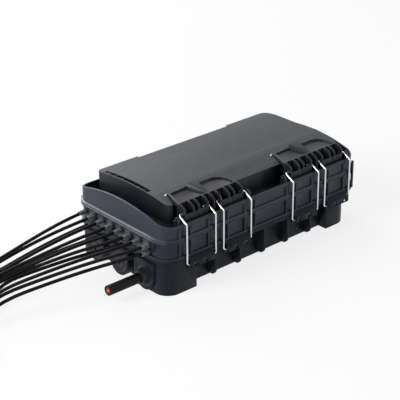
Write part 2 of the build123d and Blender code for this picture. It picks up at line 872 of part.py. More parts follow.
# Latch levers: a slab with pockets and a wedge, over a nose of ribs
for name, centre in zip(latch_names, latch_centres):
    with BuildPart() as latch_lever:
        with BuildSketch(Plane.XY.offset(slab_z)):
            lever_plan(0)
        extrude(amount=lever_slab)
        # Two pockets in the top, on either side of the wedge
        with BuildSketch(Plane.XY.offset(lever_top_z)) as pockets:
            lever_plan(-lever_rim)
            with Locations((0, pocket_front_y)):
                Rectangle(
                    4 * lever_half, 2 * lever_rim, align=(Align.CENTER, Align.MAX), mode=Mode.SUBTRACT
                )
            Polygon(
                (-wedge_rear_half, lever_rear_y),
                (-wedge_tip_half, lever_top_front_y),
                (wedge_tip_half, lever_top_front_y),
                (wedge_rear_half, lever_rear_y),
                align=None,
                mode=Mode.SUBTRACT,
            )
        extrude(amount=-pocket_depth, mode=Mode.SUBTRACT)
        # The wedge, which the thumb pulls, rises to the rear
        with BuildSketch(Plane.XY.offset(slab_z)):
            Polygon(
                (-wedge_rear_half, lever_rear_y),
                (-wedge_tip_half, pocket_front_y),
                (wedge_tip_half, pocket_front_y),
                (wedge_rear_half, lever_rear_y),
                align=None,
            )
        extrude(amount=lever_slab + wedge_rise)
        with BuildSketch(Plane.YZ.offset(-lever_half)):
            Polygon(
                (pocket_front_y - 1.0, lever_top_z),
                (lever_rear_y + 1.0, lever_top_z + wedge_rise),
                (lever_rear_y + 1.0, lever_top_z + 2 * wedge_rise),
                (pocket_front_y - 1.0, lever_top_z + 2 * wedge_rise),
                align=None,
            )
        extrude(amount=2 * lever_half, mode=Mode.SUBTRACT)
        # Ribs of the nose, curved in front
        for x in rib_places:
            rib_tail = 1.0 if abs(x) in side_ribs else tail_length
            with BuildSketch(rib_plane(x, rib_thickness)):
                with BuildLine():
                    Polyline(
                        (lever_nose_y, lever_nose_z),
                        (lever_nose_y, lever_bottom_z),
                        (web_back, lever_bottom_z),
                        (web_back, slab_z - 5.0),
                        (web_back + rib_tail, slab_z),
                        (web_back, slab_z),
                        (web_back, lever_top_z),
                        (lever_top_front_y, lever_top_z),
                    )
                    RadiusArc(
                        (lever_top_front_y, lever_top_z),
                        (lever_nose_y, lever_nose_z),
                        -nose_round,
                    )
                make_face()
            extrude(amount=rib_thickness)
        # Web behind the nose and plates low in front of it, in two halves
        with Locations((0, lever_top_front_y, lever_bottom_z)):
            Box(
                2 * lever_half,
                web_thickness,
                lever_top_z - lever_bottom_z,
                align=(Align.CENTER, Align.MIN, Align.MIN),
            )
        for side in (-1, 1):
            with Locations(
                (side * (plate_inner + lever_half) / 2, lever_nose_y, lever_bottom_z)
            ):
                Box(
                    lever_half - plate_inner,
                    plate_thickness,
                    plate_top_z - lever_bottom_z,
                    align=(Align.CENTER, Align.MIN, Align.MIN),
                )
            with Locations((side * lug_middle, pin_y, lever_bottom_z)):
                Box(
                    lug_thickness + 2 * lug_gap,
                    2 * (lug_radius + lug_gap) + 2.0,
                    pin_z + lug_radius + lug_gap - lever_bottom_z,
                    align=(Align.CENTER, Align.CENTER, Align.MIN),
                    mode=Mode.SUBTRACT,
                )
            # Round seats that the ends of the wires turn in
            for x in side_ribs:
                with BuildSketch(rib_plane(side * x, rib_thickness + 0.2)):
                    with Locations((seat_y, seat_z)):
                        Circle(wire_radius + seat_gap)
                extrude(amount=rib_thickness + 0.2, mode=Mode.SUBTRACT)
            # Bores of the pins
            for x in pin_ribs:
                with BuildSketch(rib_plane(side * x, rib_thickness)):
                    with Locations((pin_y, pin_z)):
                        Circle(pin_radius + running_gap)
                extrude(amount=rib_thickness, mode=Mode.SUBTRACT)
    latch_lever.part.label = f"{name}_latch_lever"
    placed = latch_lever.part.moved(Location((centre, 0, 0)))
    placed.label = f"{name}_latch_lever"
    export_step(placed, f"parts/{name}_latch_lever.step")

# Pins of the levers
for name, centre in zip(latch_names, latch_centres):
    for side, end in ((-1, "a"), (1, "b")):
        pin_x = centre + side * lug_middle - pin_length / 2
        with BuildPart() as lever_pin:
            with BuildSketch(Plane((pin_x, pin_y, pin_z), z_dir=(1, 0, 0))):
                Circle(pin_radius)
            extrude(amount=pin_length)
        lever_pin.part.label = f"{name}_lever_pin_{end}"
        export_step(lever_pin.part, f"parts/{name}_lever_pin_{end}.step")

# Wire bails: a bar under the hooks, two legs, and ends that turn into the lever
for name, centre in zip(latch_names, latch_centres):
    for side, end in ((-1, "a"), (1, "b")):
        outer = centre + side * outer_leg
        inner = centre + side * inner_leg
        route = [
            (outer - side * wire_end, seat_y, seat_z),
            (outer, seat_y, seat_z),
            (outer, leg_y, bend_z),
            (outer, leg_y, bar_z),
            (inner, leg_y, bar_z),
            (inner, leg_y, bend_z),
            (inner, seat_y, seat_z),
            (inner + side * wire_end, seat_y, seat_z),
        ]
        with BuildPart() as wire_bail:
            with BuildLine() as path:
                FilletPolyline(*route, radius=wire_bend_radius)
            with BuildSketch(Plane(route[0], z_dir=(side, 0, 0))):
                Circle(wire_radius)
            sweep()
        wire_bail.part.label = f"{name}_wire_bail_{end}"
        export_step(wire_bail.part, f"parts/{name}_wire_bail_{end}.step")

# Plugs of the two ports without a cable
for name, y in (("middle", port_places[1]), ("rear", port_places[2])):
    with BuildPart() as port_plug:
        with BuildSketch(Plane((port_face_x, y, port_radius), z_dir=(1, 0, 0))):
            Circle(port_seat_radius - fit_gap)
        extrude(amount=port_seat_depth)
        with BuildSketch(Plane((port_face_x, y, port_radius), z_dir=(1, 0, 0))):
            Circle(port_bore_radius - fit_gap)
        extrude(amount=plug_depth)
        with BuildSketch(Plane((port_face_x, y, port_radius), z_dir=(1, 0, 0))):
            Circle(port_bore_radius - 1.0)
            Circle(port_bore_radius - 3.5, mode=Mode.SUBTRACT)
        extrude(amount=1.2, mode=Mode.SUBTRACT)
        with BuildSketch(
            Plane((port_face_x, y, port_radius), x_dir=(0, 1, 0), z_dir=(1, 0, 0))
        ):
            SlotOverall(3 * plug_hole_radius, 2 * plug_hole_radius, rotation=90)
        extrude(amount=plug_hole_depth, mode=Mode.SUBTRACT)
    port_plug.part.label = f"{name}_port_plug"
    export_step(port_plug.part, f"parts/{name}_port_plug.step")

# Gland of the feeder cable
gland_y = port_places[0]
gland_plane = Plane((port_face_x, gland_y, port_radius), z_dir=(1, 0, 0))
with BuildPart() as feeder_gland:
    with BuildSketch(gland_plane):
        Circle(port_seat_radius - fit_gap)
    extrude(amount=port_seat_depth)
    with BuildSketch(gland_plane):
        Circle(port_bore_radius - fit_gap)
    extrude(amount=gland_depth)
    with BuildSketch(gland_plane):
        Circle(gland_radius)
    extrude(amount=-gland_reach, taper=8)
    with BuildSketch(gland_plane.offset(gland_depth)):
        RegularPolygon(gland_nut_radius, 6)
    extrude(amount=gland_nut_length)
    with BuildSketch(gland_plane.offset(-gland_reach)):
        Circle(feeder_radius + 0.02)
    extrude(amount=gland_reach + gland_depth + gland_nut_length, mode=Mode.SUBTRACT)
feeder_gland.part.label = "feeder_gland"
export_step(feeder_gland.part, "parts/feeder_gland.step")

# Feeder cable, cut off short, with its fibre tubes bare at the cut
with BuildPart() as feeder_cable:
    with BuildSketch(Plane((feeder_inner_x, gland_y, port_radius), z_dir=(-1, 0, 0))):
        Circle(feeder_radius)
    extrude(amount=feeder_inner_x - feeder_end_x)
    with BuildSketch(Plane((feeder_end_x, gland_y, port_radius), z_dir=(1, 0, 0))):
        Circle(feeder_radius - feeder_jacket_wall)
    extrude(amount=loose_tube_reach, mode=Mode.SUBTRACT)
    with BuildSketch(Plane((feeder_end_x, gland_y, port_radius), z_dir=(1, 0, 0))):
        with PolarLocations(loose_tube_circle, 6):
            Circle(loose_tube_radius)
        Circle(loose_tube_circle - loose_tube_radius + loose_tube_overlap)
    extrude(amount=loose_tube_reach)
feeder_cable.part.label = "feeder_cable"
export_step(feeder_cable.part, "parts/feeder_cable.step")

# Splice trays, hinged on their carrier
tray_left = tray_x - tray_length / 2
tray_mid_y = (tray_front_y + tray_rear_y) / 2
tray_width = tray_rear_y - tray_front_y
pin_heights = [tray_first_z + tray_height / 2 + tray_pitch * i for i in range(tray_count)]
for number, height in enumerate(pin_heights, start=1):
    bottom = height - tray_height / 2
    with BuildPart() as splice_tray:
        with BuildSketch(Plane.XY.offset(bottom)):
            with Locations((tray_x, tray_mid_y)):
                RectangleRounded(tray_length, tray_width, tray_corner)
        extrude(amount=tray_height)
        with BuildSketch(Plane.XY.offset(bottom + tray_wall)):
            with Locations((tray_x, tray_mid_y)):
                RectangleRounded(
                    tray_length - 2 * tray_wall,
                    tray_width - 2 * tray_wall,
                    tray_corner - tray_wall,
                )
        extrude(amount=tray_height, mode=Mode.SUBTRACT)
        # Two round cores that the slack fibre is wound on
        with BuildSketch(Plane.XY.offset(bottom)):
            with Locations((tray_x - core_spacing / 2, tray_mid_y)):
                Circle(core_radius)
                Circle(core_radius - tray_wall, mode=Mode.SUBTRACT)
            with Locations((tray_x + core_spacing / 2, tray_mid_y)):
                Circle(core_radius)
                Circle(core_radius - tray_wall, mode=Mode.SUBTRACT)
        extrude(amount=tray_height - 2.0)
        # Comb that holds the splice sleeves
        with Locations((tray_x, tray_mid_y, bottom)):
            with GridLocations(0, holder_width / holder_grooves, 1, holder_grooves + 1):
                Box(
                    holder_length,
                    tray_wall,
                    tray_wall + holder_height,
                    align=(Align.CENTER, Align.CENTER, Align.MIN),
                )
        # Hinge lugs and stub pins at both ends
        for side in (-1, 1):
            lug_start = tray_x + side * (tray_length / 2)
            low = min(lug_start, lug_start - side * tray_lug)
            with BuildSketch(Plane((low, 0, 0), x_dir=(0, 1, 0), z_dir=(1, 0, 0))):
                with Locations((tray_hinge_y, height)):
                    Circle(tray_lug_radius)
                    Rectangle(
                        tray_hinge_y - tray_rear_y + tray_corner,
                        2 * tray_lug_radius,
                        align=(Align.MAX, Align.CENTER),
                    )
            extrude(amount=tray_lug)
            reach = carrier_side_gap + carrier_thickness
            low = min(lug_start, lug_start + side * reach)
            with BuildSketch(Plane((low, tray_hinge_y, height), z_dir=(1, 0, 0))):
                Circle(tray_pin_radius)
            extrude(amount=reach)
    splice_tray.part.label = f"splice_tray_{number}"
    export_step(splice_tray.part, f"parts/splice_tray_{number}.step")

# Carrier of the trays, which stands on the floor of the base
carrier_top = pin_heights[-1] + carrier_post_margin
with BuildPart() as tray_carrier:
    with Locations((tray_x, tray_mid_y, floor_thickness)):
        Box(
            tray_length + 2 * (carrier_side_gap + carrier_thickness),
            carrier_plate_width,
            carrier_thickness,
            align=(Align.CENTER, Align.CENTER, Align.MIN),
        )
    for side in (-1, 1):
        inner_face = tray_x + side * (tray_length / 2 + carrier_side_gap)
        low = min(inner_face, inner_face + side * carrier_thickness)
        with BuildSketch(Plane((low, 0, 0), x_dir=(0, 1, 0), z_dir=(1, 0, 0))):
            Polygon(
                (tray_mid_y - carrier_plate_width / 2, floor_thickness),
                (tray_mid_y - carrier_plate_width / 2, tray_first_z - 12.0),
                (tray_hinge_y - 14.0, carrier_top),
                (tray_hinge_y + carrier_post_margin, carrier_top),
                (tray_hinge_y + carrier_post_margin, floor_thickness),
                align=None,
            )
            with Locations(*[(tray_hinge_y, height) for height in pin_heights]):
                Circle(tray_pin_radius + running_gap, mode=Mode.SUBTRACT)
        extrude(amount=carrier_thickness)
        # Shelf under the lowest tray
        shelf_low = min(inner_face, inner_face - side * shelf_reach)
        with Locations((shelf_low, tray_mid_y, tray_first_z)):
            Box(
                shelf_reach,
                carrier_plate_width - 20.0,
                shelf_thickness,
                align=(Align.MIN, Align.CENTER, Align.MAX),
            )
tray_carrier.part.label = "tray_carrier"
export_step(tray_carrier.part, "parts/tray_carrier.step")
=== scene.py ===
import json
import math

import bpy
from mathutils import Matrix, Vector


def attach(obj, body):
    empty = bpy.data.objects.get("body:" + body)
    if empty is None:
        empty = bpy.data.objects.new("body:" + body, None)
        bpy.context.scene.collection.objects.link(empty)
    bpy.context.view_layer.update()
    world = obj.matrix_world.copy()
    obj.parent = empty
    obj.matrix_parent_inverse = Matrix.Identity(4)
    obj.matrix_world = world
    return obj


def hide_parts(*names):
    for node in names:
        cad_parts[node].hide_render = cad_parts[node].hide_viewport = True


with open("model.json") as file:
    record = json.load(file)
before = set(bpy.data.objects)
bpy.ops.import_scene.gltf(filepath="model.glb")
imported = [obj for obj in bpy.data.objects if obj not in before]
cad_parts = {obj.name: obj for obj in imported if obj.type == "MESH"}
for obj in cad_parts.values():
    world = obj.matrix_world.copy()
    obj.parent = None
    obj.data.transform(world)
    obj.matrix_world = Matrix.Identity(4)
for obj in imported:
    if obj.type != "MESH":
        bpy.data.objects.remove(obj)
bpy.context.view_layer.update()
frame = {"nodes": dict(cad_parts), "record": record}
print("stage: part loaded")

# camera of the photograph, found by fitting the wires, seams and ends
cameraSizes = {
    "place": (-1.2044, -1.3150, 0.9141),
    "target": (-0.0204, 0.0320, 0.0500),
    "roll": -0.491,
    "lens": 113.2,
    "sensor": 36.0,
}


def addCamera(sizes):
    data = bpy.data.cameras.new("photoCamera")
    data.lens = sizes["lens"]
    data.sensor_width = sizes["sensor"]
    data.clip_end = 50
    camera = bpy.data.objects.new("photoCamera", data)
    bpy.context.scene.collection.objects.link(camera)
    look = Vector(sizes["target"]) - Vector(sizes["place"])
    turn = look.to_track_quat("-Z", "Y").to_matrix().to_4x4()
    roll = Matrix.Rotation(math.radians(sizes["roll"]), 4, "Z")
    camera.matrix_world = Matrix.Translation(sizes["place"]) @ turn @ roll
    bpy.context.scene.camera = camera


addCamera(cameraSizes)

# drop cables: the same points as the part's source, here in metres
dropSizes = {
    "diameter": 0.0052,
    "columns": 8,
    "pitch": 0.0213,
    "middleY": 0.0035,
    "rows": (0.0663, 0.0764),
    "startX": -0.196,
    "straightX": -0.230,
    "exitX": -0.2115,
    "coilPitch": 0.0054,
    "coilTurns": 3.5,
    "coilRadius": 0.042,
    "coilLead": 0.022,
    "pointsPerTurn": 16,
    "roundSteps": 4,
    "bendSteps": 4,
}
# column, row, coil, level in the coil, points in millimetres between the exit and the coil
dropRoutes = (
    (7, 1, 0, 3, [
        (-295, 80, 65.4),
        (-360, 87, 46),
        (-399, 99, 30.3),
        (-437, 111, 19.4),
    ]),
    (6, 1, 0, 1, [
        (-293, 73, 62.2),
        (-356, 95, 37),
        (-397, 103, 20.3),
        (-437, 111, 8.6),
    ]),
    (6, 0, 0, 0, [
        (-296, 68, 53.2),
        (-363, 84, 30),
        (-400, 98, 14.2),
        (-437, 111, 3.2),
    ]),
    (5, 1, 0, 2, [
        (-279, 41, 69.6),
        (-329, 49, 58),
        (-379, 58, 43),
        (-408, 85, 25.9),
        (-437, 111, 14),
    ]),
    (4, 1, 1, 3, [
        (-282, 22, 70.6),
        (-335, 32, 60.8),
        (-388, 44, 48),
        (-443, 50, 36.4),
        (-497, 55, 26.3),
        (-552, 60, 19.4),
    ]),
    (4, 0, 1, 0, [
        (-279, 28, 59.8),
        (-329, 43, 48.5),
        (-379, 60, 34),
        (-437, 60, 21.6),
        (-494, 60, 9.8),
        (-552, 60, 3.2),
    ]),
    (3, 1, 1, 2, [
        (-283, 8, 69.5),
        (-336, 24, 57.5),
        (-390, 43, 42),
        (-444, 49, 30.7),
        (-498, 54, 20.7),
        (-552, 60, 14),
    ]),
    (2, 1, 1, 1, [
        (-282, -5, 67.9),
        (-334, 21, 53.1),
        (-386, 49, 34),
        (-441, 53, 23.7),
        (-497, 57, 14.7),
        (-552, 60, 8.6),
    ]),
    (2, 0, 2, 0, [
        (-281, -3, 58.4),
        (-332, 24, 44.7),
        (-384, 54, 27),
        (-431, 27, 12.9),
        (-479, 0, 3.2),
    ]),
    (1, 1, 2, 3, [
        (-289, -31, 69.6),
        (-349, -9, 58),
        (-409, 14, 43),
        (-444, 7, 31.5),
        (-479, 0, 19.4),
    ]),
    (0, 1, 2, 2, [
        (-289, -45, 68.3),
        (-349, -17, 54.2),
        (-409, 14, 36),
        (-444, 9, 25.5),
        (-479, 0, 14),
    ]),
    (0, 0, 2, 1, [
        (-290, -46, 58.6),
        (-351, -19, 45.3),
        (-412, 10, 28),
        (-479, 0, 8.6),
    ]),
)
# x, y, heading from -X towards +Y in degrees, side of the coil
coilEntries = (
    (-0.470, 0.116, 8.0, 1),
    (-0.585, 0.062, 3.0, 1),
    (-0.512, -0.002, -3.0, -1),
)
coilNodes = ("rear_cable_coil", "middle_cable_coil", "front_cable_coil")
coilsStoodFor = []


def coilFrame(sizes, entry):
    entryX, entryY, heading, side = entry
    turn = math.radians(heading)
    along = Vector((-math.cos(turn), math.sin(turn), 0))
    across = Vector((math.sin(turn), math.cos(turn), 0)) * side
    start = Vector((entryX, entryY, 0)) + along * sizes["coilLead"]
    return along, across, start + across * sizes["coilRadius"]


def coilPoints(sizes, entry, z):
    along, across, middle = coilFrame(sizes, entry)
    count = int(sizes["pointsPerTurn"] * sizes["coilTurns"])
    step = 2 * math.pi / sizes["pointsPerTurn"]
    # the spline runs a little inside its points
    wider = 1 / math.cos(step / 2)
    points = []
    for i in range(count + 1):
        angle = (i + 0.5) * step
        radius = sizes["coilRadius"] - sizes["coilPitch"] * (i + 0.5) / sizes["pointsPerTurn"]
        place = middle - across * math.cos(angle) * radius * wider
        place += along * math.sin(angle) * radius * wider
        points.append((place.x, place.y, z))
    return points


def addDropCable(number, route, sizes):
    column, row, coil, level, between = route
    y = sizes["middleY"] + sizes["pitch"] * (column - (sizes["columns"] - 1) / 2)
    z = sizes["rows"][row]
    levelZ = sizes["coilPitch"] * (level + 0.5)
    entry = coilEntries[coil]
    points = [(sizes["startX"], y, z), (sizes["straightX"], y, z)]
    points += [(px / 1000, py / 1000, pz / 1000) for px, py, pz in between]
    points.append((entry[0], entry[1], levelZ))
    points += coilPoints(sizes, entry, levelZ)
    curve = bpy.data.curves.new(f"dropCable{number}", "CURVE")
    curve.dimensions = "3D"
    curve.bevel_depth = 1.0
    curve.bevel_resolution = sizes["roundSteps"]
    curve.use_fill_caps = True
    curve.resolution_u = sizes["bendSteps"]
    spline = curve.splines.new("NURBS")
    spline.points.add(len(points) - 1)
    for point, place in zip(spline.points, points):
        point.co = (*place, 1)
        point.radius = sizes["diameter"] / 2
    spline.order_u = 3
    spline.use_endpoint_u = True
    cable = bpy.data.objects.new(f"dropCable{number}", curve)
    bpy.context.scene.collection.objects.link(cable)
    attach(cable, "box")
    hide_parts(f"drop_cable_{number}")
    if coilNodes[coil] not in coilsStoodFor:
        coilsStoodFor.append(coilNodes[coil])
        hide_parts(coilNodes[coil])
    length = sum(spline.calc_length(resolution=16) for spline in curve.splines)
    print(f"  drop cable {number}: {length:.3f} m")
    return cable, round(length, 3), (sizes["exitX"], y, z), coil


dropCables = [addDropCable(i, route, dropSizes) for i, route in enumerate(dropRoutes, start=1)]
print("stage: drop cables laid")


def deselectAll():
    if bpy.context.object and bpy.context.object.mode != "OBJECT":
        bpy.ops.object.mode_set(mode="OBJECT")
    bpy.ops.object.select_all(action="DESELECT")


def bakePlace(piece):
    deselectAll()
    piece.select_set(True)
    bpy.context.view_layer.objects.active = piece
    bpy.ops.object.transform_apply(location=True, rotation=True, scale=True)


def pickFaces(mesh, test):
    for face in mesh.polygons:
        face.select = test(face)


def pickNothing(kind):
    bpy.ops.object.mode_set(mode="EDIT")
    bpy.ops.mesh.select_mode(type=kind)
    bpy.ops.mesh.select_all(action="DESELECT")
    bpy.ops.object.mode_set(mode="OBJECT")


def facesPort(face):
    return face.normal.x < -0.9


def joinInto(piece, others):
    deselectAll()
    for part in (piece, *others):
        part.select_set(True)
    bpy.context.view_layer.objects.active = piece
    bpy.ops.object.join()


def softenEdges(piece, width, angle=30):
    bevel = piece.modifiers.new("softEdges", "BEVEL")
    bevel.width = width
    bevel.segments = 2
    bevel.limit_method = "ANGLE"
    bevel.angle_limit = math.radians(angle)
    bpy.ops.object.modifier_apply(modifier=bevel.name)


# ties that hold the three coils
tieSizes = {
    "inner": 0.0214,
    "outer": 0.0438,
    "height": 0.0220,
    "width": 0.0048,
    "thickness": 0.0009,
    "corner": 0.0035,
    "cornerSteps": 4,
    "head": (0.0062, 0.0066, 0.0040),
    "headSunk": 0.0006,
    "slotWall": 0.0011,
    "slotDepth": 0.003,
    "softEdge": 0.0002,
    "softAngle": 40,
}


def addTie(name, entry, cables, sizes):
    along, _, middle = coilFrame(cables, entry)
    place = middle + along * (sizes["inner"] + sizes["outer"]) / 2
    place.z = sizes["height"] / 2
    deselectAll()
    bpy.ops.mesh.primitive_cube_add(size=1, location=(0, 0, 0))
    tie = bpy.context.object
    tie.name = name
    tie.scale = (sizes["outer"] - sizes["inner"], sizes["width"], sizes["height"])
    bakePlace(tie)
    # open the box at both sides, then round its four corners into a strap
    pickNothing("FACE")
    pickFaces(tie.data, lambda face: abs(face.normal.y) > 0.9)
    bpy.ops.object.mode_set(mode="EDIT")
    bpy.ops.mesh.delete(type="FACE")
    pickNothing("EDGE")
    points = tie.data.vertices
    for edge in tie.data.edges:
        first, second = (points[i].co for i in edge.vertices)
        edge.select = abs(first.y - second.y) > sizes["width"] / 2
    bpy.ops.object.mode_set(mode="EDIT")
    bpy.ops.mesh.bevel(offset=sizes["corner"], segments=sizes["cornerSteps"], affect="EDGES")
    bpy.ops.object.mode_set(mode="OBJECT")
    wall = tie.modifiers.new("strap", "SOLIDIFY")
    wall.thickness = sizes["thickness"]
    wall.offset = -1
    bpy.ops.object.modifier_apply(modifier=wall.name)
    # the head sits on top, with the strap's slot let into it
    deselectAll()
    headZ = sizes["height"] / 2 + sizes["head"][2] / 2 - sizes["headSunk"]
    bpy.ops.mesh.primitive_cube_add(size=1, location=(0, 0, headZ))
    head = bpy.context.object
    head.scale = sizes["head"]
    bakePlace(head)
    pickFaces(head.data, lambda face: face.normal.x > 0.9)
    bpy.ops.object.mode_set(mode="EDIT")
    bpy.ops.mesh.select_mode(type="FACE")
    bpy.ops.mesh.inset(thickness=sizes["slotWall"])
    inward = (-sizes["slotDepth"], 0, 0)
    bpy.ops.mesh.extrude_region_move(TRANSFORM_OT_translate={"value": inward})
    bpy.ops.object.mode_set(mode="OBJECT")
    joinInto(tie, [head])
    tie.rotation_euler = (0, 0, math.atan2(along.y, along.x))
    tie.location = place
    bakePlace(tie)
    softenEdges(tie, sizes["softEdge"], sizes["softAngle"])
    bpy.ops.object.shade_smooth_by_angle(angle=math.radians(sizes["softAngle"]))
    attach(tie, "box")
    return tie


coilTies = [
    addTie(f"coilTie{i}", entry, dropSizes, tieSizes)
    for i, entry in enumerate(coilEntries, start=1)
]
tied = set()
for cable, length, leaving, coil in dropCables:
    [] if coil in tied else [coilTies[coil]]
    tied.add(coil)
print("stage: coils tied")

# feeder cable: jacket and bare tubes at the cut
feederSizes = {
    "radius": 0.0077,
    "jacket": 0.0021,
    "startX": -0.150,
    "cutX": -0.276,
    "exitX": -0.179,
    "y": -0.058,
    "z": 0.0215,
    "recess": 0.0012,
    "tube": 0.00135,
    "circle": 0.0030,
    "tubes": 6,
    "turn": 95,
    "proud": 0.0002,
    "wallShare": 0.3,
    "hollowShare": 0.4,
    "softEdge": 0.0004,
    "sides": 48,
    "tubeSides": 20,
    "smoothAngle": 35,
}


def addRod(sides, radius, depth, middle):
    deselectAll()
    bpy.ops.mesh.primitive_cylinder_add(
        vertices=sides,
        radius=radius,
        depth=depth,
        location=middle,
        rotation=(0, -math.pi / 2, 0),
        end_fill_type="NGON",
    )
    rod = bpy.context.object
    bakePlace(rod)
    return rod


def copyOf(piece):
    copy = piece.copy()
    copy.data = piece.data.copy()
    bpy.context.scene.collection.objects.link(copy)
    return copy


def addFeederCable(sizes):
    length = sizes["startX"] - sizes["cutX"]
    middle = ((sizes["startX"] + sizes["cutX"]) / 2, sizes["y"], sizes["z"])
    cable = addRod(sizes["sides"], sizes["radius"], length, middle)
    cable.name = "feederCable"
    # the cut face: a ring of jacket, then the hollow that the tubes stand in
    pickFaces(cable.data, facesPort)
    bpy.ops.object.mode_set(mode="EDIT")
    bpy.ops.mesh.select_mode(type="FACE")
    bpy.ops.mesh.inset(thickness=sizes["jacket"])
    bpy.ops.mesh.extrude_region_move(TRANSFORM_OT_translate={"value": (sizes["recess"], 0, 0)})
    bpy.ops.object.mode_set(mode="OBJECT")
    softenEdges(cable, sizes["softEdge"])
    # one loose tube with a hollow end, then its copies round the middle
    depth = sizes["recess"] + 2 * sizes["proud"]
    tubeMiddle = (sizes["cutX"] + depth / 2 - sizes["proud"], sizes["y"], sizes["z"])
    tube = addRod(sizes["tubeSides"], sizes["tube"], depth, tubeMiddle)
    pickFaces(tube.data, facesPort)
    bpy.ops.object.mode_set(mode="EDIT")
    bpy.ops.mesh.inset(thickness=sizes["tube"] * sizes["wallShare"])
    inward = (sizes["tube"] * sizes["hollowShare"], 0, 0)
    bpy.ops.mesh.extrude_region_move(TRANSFORM_OT_translate={"value": inward})
    bpy.ops.object.mode_set(mode="OBJECT")
    tubes = []
    for i in range(sizes["tubes"]):
        turn = math.radians(360 / sizes["tubes"] * i + sizes["turn"])
        copy = copyOf(tube)
        copy.location = (0, math.cos(turn) * sizes["circle"], math.sin(turn) * sizes["circle"])
        tubes.append(copy)
    joinInto(cable, [tube, *tubes])
    bpy.ops.object.shade_smooth_by_angle(angle=math.radians(sizes["smoothAngle"]))
    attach(cable, "box")
    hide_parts("feeder_cable")
    return cable


feederCable = addFeederCable(feederSizes)
print("stage: feeder cable made")

# grey sealing sleeve that each drop cable passes through, outside its collar
sleeveSizes = {
    "startX": -0.2105,
    "length": 0.0125,
    "wide": 0.0037,
    "narrow": 0.0032,
    "bore": 0.0027,
    "grooves": (0.0040, 0.0075),
    "grooveWidth": 0.0008,
    "grooveDepth": 0.0005,
    "boreDepth": 0.0015,
    "sides": 28,
    "smoothAngle": 35,
}


def addSleeve(sizes):
    middle = (sizes["startX"] - sizes["length"] / 2, 0, 0)
    sleeve = addRod(sizes["sides"], sizes["wide"], sizes["length"], middle)
    # cut the grooves' edges into the wall, then take the walls between them in
    bpy.ops.object.mode_set(mode="EDIT")
    for groove in sizes["grooves"]:
        for edge in (groove, groove + sizes["grooveWidth"]):
            bpy.ops.mesh.select_all(action="SELECT")
            bpy.ops.mesh.bisect(plane_co=(sizes["startX"] - edge, 0, 0), plane_no=(1, 0, 0))
    pickNothing("FACE")

    def inGroove(face):
        along = sizes["startX"] - face.center.x
        return any(groove < along < groove + sizes["grooveWidth"] for groove in sizes["grooves"])

    pickFaces(sleeve.data, inGroove)
    bpy.ops.object.mode_set(mode="EDIT")
    inward = {"value": -sizes["grooveDepth"]}
    bpy.ops.mesh.extrude_region_shrink_fatten(TRANSFORM_OT_shrink_fatten=inward)
    bpy.ops.object.mode_set(mode="OBJECT")
    # narrow the outer end and open the bore there
    nearEnd = sizes["startX"] - sizes["length"] + 0.0001
    pickFaces(sleeve.data, lambda face: facesPort(face) and face.center.x < nearEnd)
    bpy.ops.object.mode_set(mode="EDIT")
    share = sizes["narrow"] / sizes["wide"]
    bpy.ops.transform.resize(value=(1, share, share))
    bpy.ops.mesh.inset(thickness=sizes["narrow"] - sizes["bore"])
    bpy.ops.mesh.extrude_region_move(TRANSFORM_OT_translate={"value": (sizes["boreDepth"], 0, 0)})
    bpy.ops.object.mode_set(mode="OBJECT")
    bpy.ops.object.shade_smooth_by_angle(angle=math.radians(sizes["smoothAngle"]))
    return sleeve


firstSleeve = addSleeve(sleeveSizes)
sealSleeves = [firstSleeve] + [copyOf(firstSleeve) for _ in dropCables[1:]]
for i, (sleeve, (_, _, leaving, _)) in enumerate(zip(sealSleeves, dropCables), start=1):
    sleeve.name = f"sealSleeve{i}"
    sleeve.location = (0, leaving[1], leaving[2])
    bakePlace(sleeve)
    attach(sleeve, "box")
print("stage: sealing sleeves made")

# small steel eye at the rear left corner of each lever, for a seal wire
eyeSizes = {
    "places": ((-0.1536, -0.046, 0.1270), (0.0604, -0.046, 0.1270)),
    "radius": 0.0030,
    "wire": 0.0008,
    "sweep": 240,
    "foot": 0.0035,
    "sides": 10,
    "steps": 20,
    "merge": 0.00002,
    "smoothAngle": 50,
}


def addSealEye(name, place, sizes):
    deselectAll()
    middle = Vector(place)
    side = math.radians((sizes["sweep"] - 180) / 2)
    first = middle + Vector((math.cos(side), 0, -math.sin(side))) * sizes["radius"]
    bpy.ops.mesh.primitive_circle_add(
        vertices=sizes["sides"],
        radius=sizes["wire"],
        fill_type="NGON",
        location=first,
        rotation=(0, side, 0),
    )
    eye = bpy.context.object
    eye.name = name
    bakePlace(eye)
    # the ring swept round the eye, then a foot straight down
    bpy.ops.object.mode_set(mode="EDIT")
    bpy.ops.mesh.select_all(action="SELECT")
    bpy.ops.mesh.spin(
        steps=sizes["steps"],
        angle=math.radians(-sizes["sweep"]),
        center=middle,
        axis=(0, 1, 0),
    )
    bpy.ops.mesh.extrude_region_move(TRANSFORM_OT_translate={"value": (0, 0, -sizes["foot"])})
    bpy.ops.mesh.select_all(action="SELECT")
    bpy.ops.mesh.remove_doubles(threshold=sizes["merge"])
    bpy.ops.mesh.normals_make_consistent(inside=False)
    bpy.ops.object.mode_set(mode="OBJECT")
    bpy.ops.object.shade_smooth_by_angle(angle=math.radians(sizes["smoothAngle"]))
    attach(eye, "cover")
    return eye


sealEyes = [
    addSealEye(f"sealEye{i}", place, eyeSizes)
    for i, place in enumerate(eyeSizes["places"], start=1)
]
print("stage: seal eyes bent")


